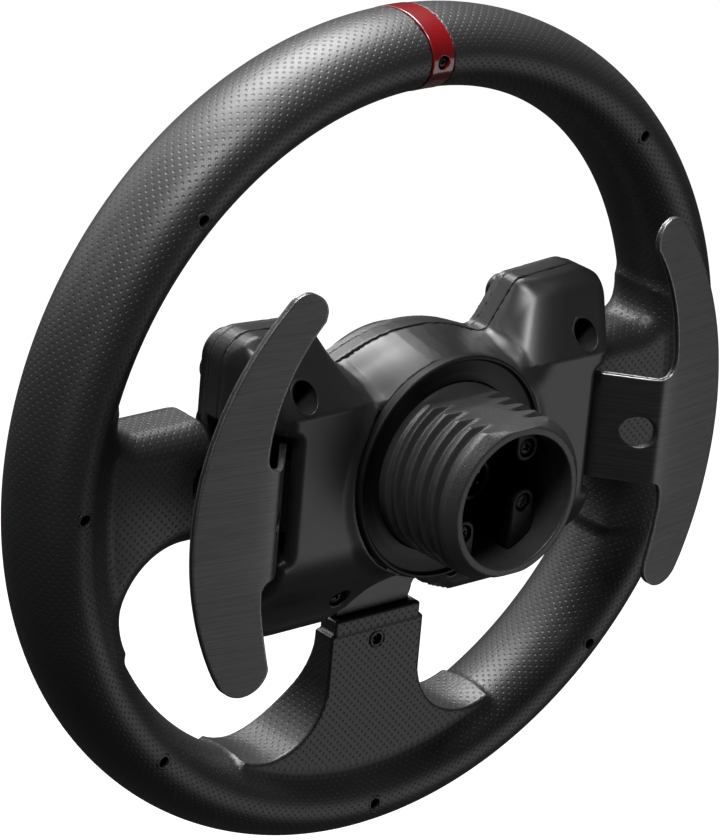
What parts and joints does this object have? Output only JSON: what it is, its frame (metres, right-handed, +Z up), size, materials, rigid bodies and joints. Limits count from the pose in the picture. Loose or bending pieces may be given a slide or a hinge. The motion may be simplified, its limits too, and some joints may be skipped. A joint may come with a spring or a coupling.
{
  "type": "racing wheel",
  "caption": "Round racing wheel with dimpled rubber grip, red centre band, hub housing with two metal shift paddles, front buttons and a threaded quick-release tube.",
  "frame": {"origin": "centre of the mouth of the quick-release tube, on the wheel axis", "axes": "+Y back along the quick-release tube, away from the driver; +Z up with the band at 12 o clock; +X to the right as the driver sees it"},
  "size_m": [0.28, 0.0895, 0.2802],
  "materials": {
    "grip_rubber": "satin black rubber with small dimples",
    "band_red": "glossy red",
    "housing_plastic": "fine matte black",
    "tube_nylon": "grey glass-filled nylon",
    "plate_metal": "dark satin anodised plate",
    "paddle_metal": "dark brushed metal",
    "steel": "plain steel",
    "screw_steel": "blackened steel",
    "board": "green circuit board",
    "gasket": "matte black rubber",
    "gloss_black": "gloss black",
    "button_white": "white",
    "button_graphite": "graphite",
    "button_black": "black"
  },
  "bodies": {
    "wheel": {"rim_front": "grip_rubber", "rim_back": "grip_rubber", "rim_hoop": "steel", "centre_band": "band_red", "band_screw": "screw_steel", "rim_screw_1": "screw_steel", "rim_screw_2": "screw_steel", "rim_screw_3": "screw_steel", "rim_screw_4": "screw_steel", "rim_screw_5": "screw_steel", "rim_screw_6": "screw_steel", "rim_screw_7": "screw_steel", "housing_back": "housing_plastic", "housing_front": "housing_plastic", "ear_screw_right": "screw_steel", "chin_screw_right": "screw_steel", "ear_screw_left": "screw_steel", "chin_screw_left": "screw_steel", "spoke_plate": "plate_metal", "release_tube": "tube_nylon", "collar_ring": "gasket", "connector_insert": "housing_plastic", "insert_screw_1": "steel", "insert_screw_2": "steel", "insert_screw_3": "steel", "connector_socket": "gloss_black", "paddle_bracket_right": "steel", "paddle_pin_right": "steel", "paddle_spring_right": "steel", "paddle_switch_right": "gloss_black", "paddle_stop_right": "gasket", "ear_trim_right": "gloss_black", "paddle_bracket_left": "steel", "paddle_pin_left": "steel", "paddle_spring_left": "steel", "paddle_switch_left": "gloss_black", "paddle_stop_left": "gasket", "ear_trim_left": "gloss_black", "main_board": "board", "dial_encoder": "steel", "centre_cover": "housing_plastic", "centre_cap": "gloss_black", "cover_screw": "screw_steel"},
    "paddle_right": {"paddle_right": "paddle_metal", "paddle_lever_right": "housing_plastic"},
    "button_right_1": {"button_right_1": "button_white"},
    "button_right_2": {"button_right_2": "button_graphite"},
    "button_right_3": {"button_right_3": "button_black"},
    "paddle_left": {"paddle_left": "paddle_metal", "paddle_lever_left": "housing_plastic"},
    "button_left_1": {"button_left_1": "button_white"},
    "button_left_2": {"button_left_2": "button_graphite"},
    "button_left_3": {"button_left_3": "button_black"},
    "pad_gimbal": {"pad_gimbal": "steel"},
    "direction_pad": {"direction_pad": "gloss_black"},
    "selector_dial": {"selector_dial": "gloss_black"}
  },
  "joints": [
    {"name": "paddle_right_pull", "type": "hinge", "parent": "wheel", "child": "paddle_right", "pos_m": [0.0495, -0.0505, 0], "axis": [0, 0, -1], "range_deg": [0, 7], "stiffness_Nm_per_rad": 4, "springref_deg": -6.88, "deforming": ["paddle_spring_right"]},
    {"name": "button_right_1_press", "type": "slide", "parent": "wheel", "child": "button_right_1", "axis": [0, 1, 0], "range_m": [0, 0.0012], "stiffness_N_per_m": 900, "springref_m": -0.001},
    {"name": "button_right_2_press", "type": "slide", "parent": "wheel", "child": "button_right_2", "axis": [0, 1, 0], "range_m": [0, 0.0012], "stiffness_N_per_m": 900, "springref_m": -0.001},
    {"name": "button_right_3_press", "type": "slide", "parent": "wheel", "child": "button_right_3", "axis": [0, 1, 0], "range_m": [0, 0.0012], "stiffness_N_per_m": 900, "springref_m": -0.001},
    {"name": "paddle_left_pull", "type": "hinge", "parent": "wheel", "child": "paddle_left", "pos_m": [-0.0495, -0.0505, 0], "axis": [0, 0, 1], "range_deg": [0, 7], "stiffness_Nm_per_rad": 4, "springref_deg": -6.88, "deforming": ["paddle_spring_left"]},
    {"name": "button_left_1_press", "type": "slide", "parent": "wheel", "child": "button_left_1", "axis": [0, 1, 0], "range_m": [0, 0.0012], "stiffness_N_per_m": 900, "springref_m": -0.001},
    {"name": "button_left_2_press", "type": "slide", "parent": "wheel", "child": "button_left_2", "axis": [0, 1, 0], "range_m": [0, 0.0012], "stiffness_N_per_m": 900, "springref_m": -0.001},
    {"name": "button_left_3_press", "type": "slide", "parent": "wheel", "child": "button_left_3", "axis": [0, 1, 0], "range_m": [0, 0.0012], "stiffness_N_per_m": 900, "springref_m": -0.001},
    {"name": "pad_tilt_up_down", "type": "hinge", "parent": "wheel", "child": "pad_gimbal", "pos_m": [-0.051, -0.0609, -0.028], "axis": [1, 0, 0], "range_deg": [-5, 5], "stiffness_Nm_per_rad": 0.6},
    {"name": "pad_tilt_sideways", "type": "hinge", "parent": "pad_gimbal", "child": "direction_pad", "pos_m": [-0.051, -0.0609, -0.028], "axis": [0, 0, 1], "range_deg": [-5, 5], "stiffness_Nm_per_rad": 0.6},
    {"name": "dial_turn", "type": "hinge", "parent": "wheel", "child": "selector_dial", "pos_m": [0.051, -0.071, -0.028], "axis": [0, 1, 0], "range_deg": [-150, 150]}
  ]
}
